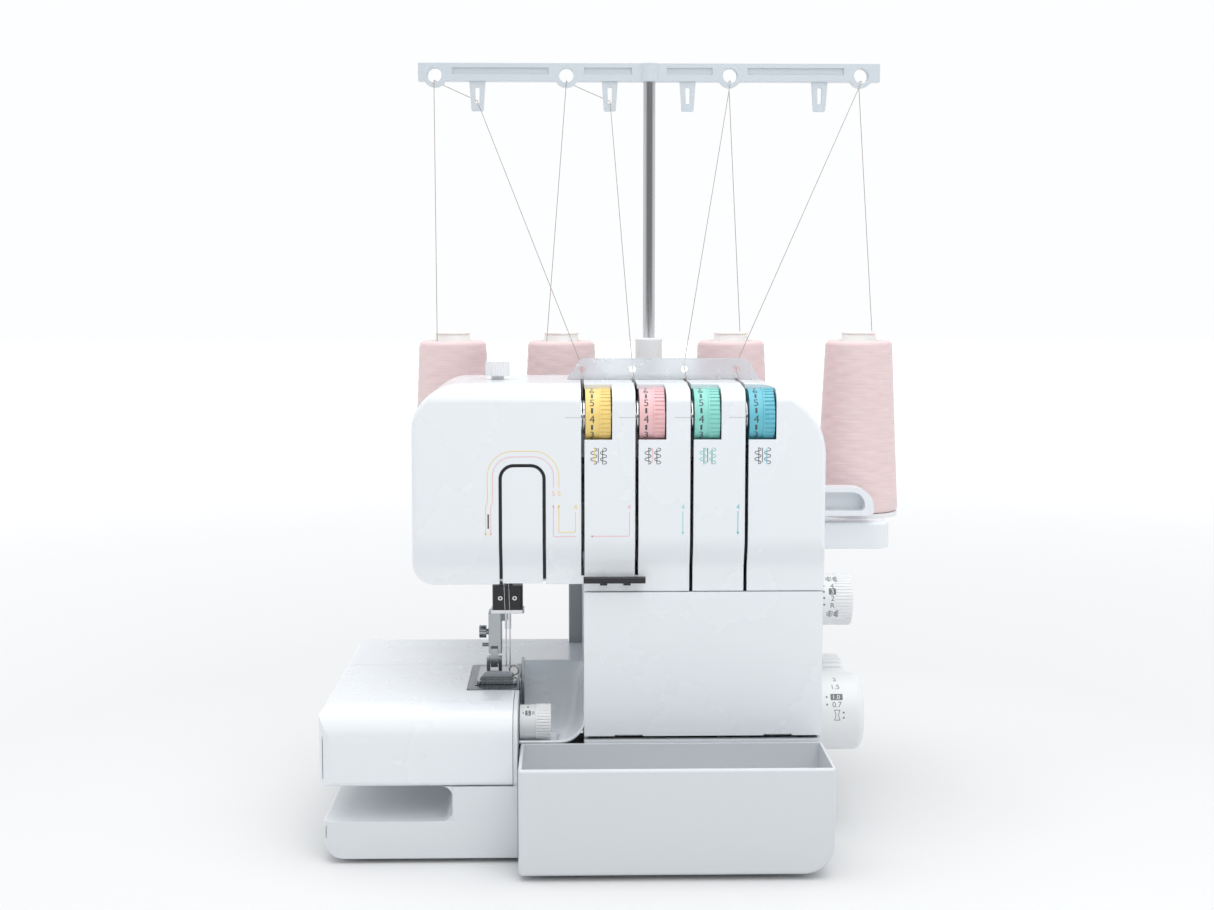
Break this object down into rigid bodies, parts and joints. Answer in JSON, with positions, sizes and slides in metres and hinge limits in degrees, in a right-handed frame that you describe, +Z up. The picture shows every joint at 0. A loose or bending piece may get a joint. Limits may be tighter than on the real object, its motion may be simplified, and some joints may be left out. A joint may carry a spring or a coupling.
{
  "type": "serger overlock machine",
  "caption": "White overlock sewing machine with free arm, colour-coded tension dials, trimmings tray and a thread tree over four thread cones.",
  "frame": {"origin": "centre of the bounding box, on the surface the machine stands on", "axes": "+X to the operator's right, +Y to the back of the machine, +Z up"},
  "size_m": [0.3779, 0.28, 0.491],
  "materials": {
    "white_shell": "satin-gloss moulded shell",
    "tray_white": "satin moulded tray and stand",
    "dial_white": "moulded white dials",
    "tube_white": "spool tube",
    "grey_plastic": "matt grey",
    "bar_grey": "pale blue-grey moulding",
    "clear_guide": "milky guide plate",
    "black_metal": "blackened",
    "black_plastic": "black",
    "motor_black": "painted can",
    "steel": "ground",
    "plate_steel": "brushed",
    "chrome": "polished",
    "cast_alloy": "as cast",
    "bronze": "sintered",
    "rubber": "matt",
    "pink_thread": "wound polyester thread",
    "loose_thread": "taut thread",
    "dial_yellow": "satin",
    "dial_pink": "satin",
    "dial_green": "satin",
    "dial_blue": "satin"
  },
  "bodies": {
    "root": {"base_cover": "white_shell", "cone_tubes": "tube_white", "drive_belt": "rubber", "head_cover": "white_shell", "lower_knife": "steel", "lower_thread_guide": "black_metal", "machine_frame": "cast_alloy", "motor_body": "motor_black", "needle_plate": "plate_steel", "power_inlet": "black_plastic", "presser_spring": "steel", "rear_bed": "white_shell", "rear_cover": "white_shell", "rubber_feet": "rubber", "shaft_bushes": "bronze", "side_cover": "white_shell", "spool_holders": "dial_white", "spool_stand": "tray_white", "take_up_panel": "white_shell", "tension_discs": "chrome", "tension_posts": "steel", "thread_1": "loose_thread", "thread_2": "loose_thread", "thread_3": "loose_thread", "thread_4": "loose_thread", "thread_cones": "pink_thread", "thread_guide_plate": "clear_guide", "throat_guard": "grey_plastic", "tree_holder": "dial_white", "trim_chute": "white_shell"},
    "handwheel": {"handwheel": "dial_white", "main_shaft": "steel"},
    "motor_rotor": {"motor_pulley": "cast_alloy"},
    "needle_bar": {"needle_bar": "chrome", "needle_clamp": "black_metal", "needles": "chrome"},
    "take_up": {"take_up_lever": "steel"},
    "lower_looper": {"lower_looper": "steel"},
    "upper_looper": {"upper_looper": "steel"},
    "upper_knife": {"upper_knife": "steel"},
    "feed_dogs": {"feed_dogs": "steel"},
    "presser_lifter": {"presser_lift_lever": "grey_plastic"},
    "presser_bar": {"presser_bar": "chrome", "foot_ankle": "plate_steel", "presser_foot": "chrome"},
    "pressure_knob": {"pressure_knob": "dial_white"},
    "tension_dial_1": {"tension_dial_1": "dial_yellow"},
    "tension_dial_2": {"tension_dial_2": "dial_pink"},
    "tension_dial_3": {"tension_dial_3": "dial_green"},
    "tension_dial_4": {"tension_dial_4": "dial_blue"},
    "stitch_length_dial": {"stitch_length_dial": "dial_white"},
    "differential_dial": {"differential_dial": "dial_white"},
    "stitch_width_dial": {"stitch_width_dial": "dial_white"},
    "cover_carrier": {"cover_carrier": "grey_plastic"},
    "front_cover": {"front_cover": "white_shell"},
    "trim_tray": {"trim_tray": "tray_white"},
    "free_arm_cover": {"free_arm_cover": "white_shell"},
    "power_switch": {"power_switch": "black_plastic"},
    "thread_tree": {"thread_bar": "bar_grey", "tree_pole": "chrome"}
  },
  "joints": [
    {"name": "handwheel_turn", "type": "hinge", "parent": "root", "child": "handwheel", "pos_m": [0.1125, 0.025, 0.072], "axis": [1, 0, 0], "continuous": true},
    {"name": "motor_turn", "type": "hinge", "parent": "root", "child": "motor_rotor", "pos_m": [0.06, -0.028, 0.045], "axis": [1, 0, 0], "continuous": true},
    {"name": "needle_bar_stroke", "type": "slide", "parent": "root", "child": "needle_bar", "axis": [0, 0, 1], "range_m": [-0.022, 0.004]},
    {"name": "take_up_swing", "type": "hinge", "parent": "root", "child": "take_up", "pos_m": [-0.05, -0.0665, 0.2], "axis": [0, 1, 0], "range_deg": [-21, 4.5]},
    {"name": "lower_looper_swing", "type": "hinge", "parent": "root", "child": "lower_looper", "pos_m": [-0.054, -0.026, 0.04], "axis": [0, 1, 0], "range_deg": [-8, 2]},
    {"name": "upper_looper_swing", "type": "hinge", "parent": "root", "child": "upper_looper", "pos_m": [-0.044, -0.043, 0.038], "axis": [0, 1, 0], "range_deg": [-2, 8]},
    {"name": "upper_knife_stroke", "type": "slide", "parent": "root", "child": "upper_knife", "axis": [0, 0, 1], "range_m": [-0.008, 0.0015]},
    {"name": "feed_stroke", "type": "slide", "parent": "root", "child": "feed_dogs", "axis": [0, 1, 0], "range_m": [-0.003, 0.0006]},
    {"name": "presser_lift", "type": "hinge", "parent": "root", "child": "presser_lifter", "pos_m": [-0.083, 0.0468, 0.222], "axis": [1, 0, 0], "range_deg": [0, 71]},
    {"name": "presser_bar_lift", "type": "slide", "parent": "root", "child": "presser_bar", "axis": [0, 0, 1], "range_m": [0, 0.006], "deforming": ["presser_spring"]},
    {"name": "pressure_turn", "type": "hinge", "parent": "root", "child": "pressure_knob", "pos_m": [-0.0855, -0.012, 0.282], "axis": [0, 0, 1], "range_deg": [-360, 360]},
    {"name": "tension_turn_1", "type": "hinge", "parent": "root", "child": "tension_dial_1", "pos_m": [-0.0323, -0.0685, 0.2625], "axis": [1, 0, 0], "range_deg": [-136, 170]},
    {"name": "tension_turn_2", "type": "hinge", "parent": "root", "child": "tension_dial_2", "pos_m": [-0.0002, -0.0685, 0.2625], "axis": [1, 0, 0], "range_deg": [-136, 170]},
    {"name": "tension_turn_3", "type": "hinge", "parent": "root", "child": "tension_dial_3", "pos_m": [0.0325, -0.0685, 0.2625], "axis": [1, 0, 0], "range_deg": [-136, 170]},
    {"name": "tension_turn_4", "type": "hinge", "parent": "root", "child": "tension_dial_4", "pos_m": [0.0651, -0.0685, 0.2625], "axis": [1, 0, 0], "range_deg": [-136, 170]},
    {"name": "stitch_length_turn", "type": "hinge", "parent": "root", "child": "stitch_length_dial", "pos_m": [0.1125, -0.012, 0.1405], "axis": [1, 0, 0], "range_deg": [-60, 30]},
    {"name": "differential_turn", "type": "hinge", "parent": "root", "child": "differential_dial", "pos_m": [0.1125, -0.03, 0.072], "axis": [1, 0, 0], "range_deg": [-20, 60]},
    {"name": "stitch_width_turn", "type": "hinge", "parent": "root", "child": "stitch_width_dial", "pos_m": [-0.0713, -0.07, 0.076], "axis": [1, 0, 0], "range_deg": [-20, 60]},
    {"name": "front_cover_slide", "type": "slide", "parent": "root", "child": "cover_carrier", "axis": [1, 0, 0], "range_m": [0, 0.005]},
    {"name": "front_cover_open", "type": "hinge", "parent": "cover_carrier", "child": "front_cover", "pos_m": [0, -0.0794, 0.0714], "axis": [1, 0, 0], "range_deg": [0, 90]},
    {"name": "trim_tray_pull", "type": "slide", "parent": "root", "child": "trim_tray", "axis": [0, -1, 0], "range_m": [0, 0.06]},
    {"name": "free_arm_cover_pull", "type": "slide", "parent": "root", "child": "free_arm_cover", "axis": [-1, 0, 0], "range_m": [0, 0.12]},
    {"name": "power_switch_rock", "type": "hinge", "parent": "root", "child": "power_switch", "pos_m": [0.111, 0.066, 0.046], "axis": [0, 1, 0], "range_deg": [0, 10]},
    {"name": "thread_tree_height", "type": "slide", "parent": "root", "child": "thread_tree", "axis": [0, 0, 1], "range_m": [-0.1, 0], "deforming": ["thread_1", "thread_2", "thread_3", "thread_4"]}
  ],
  "couplings": [
    {"joint": "motor_turn", "follows": "handwheel_turn", "ratio": 3.5714},
    {"joint": "take_up_swing", "follows": "needle_bar_stroke", "rad_per_m": 15.9},
    {"joint": "lower_looper_swing", "follows": "needle_bar_stroke", "rad_per_m": 6},
    {"joint": "upper_looper_swing", "follows": "needle_bar_stroke", "rad_per_m": -6},
    {"joint": "upper_knife_stroke", "follows": "needle_bar_stroke", "ratio": 0.35},
    {"joint": "feed_stroke", "follows": "needle_bar_stroke", "ratio": 0.12},
    {"joint": "presser_lift", "follows": "presser_bar_lift", "rad_per_m": 203.62}
  ]
}
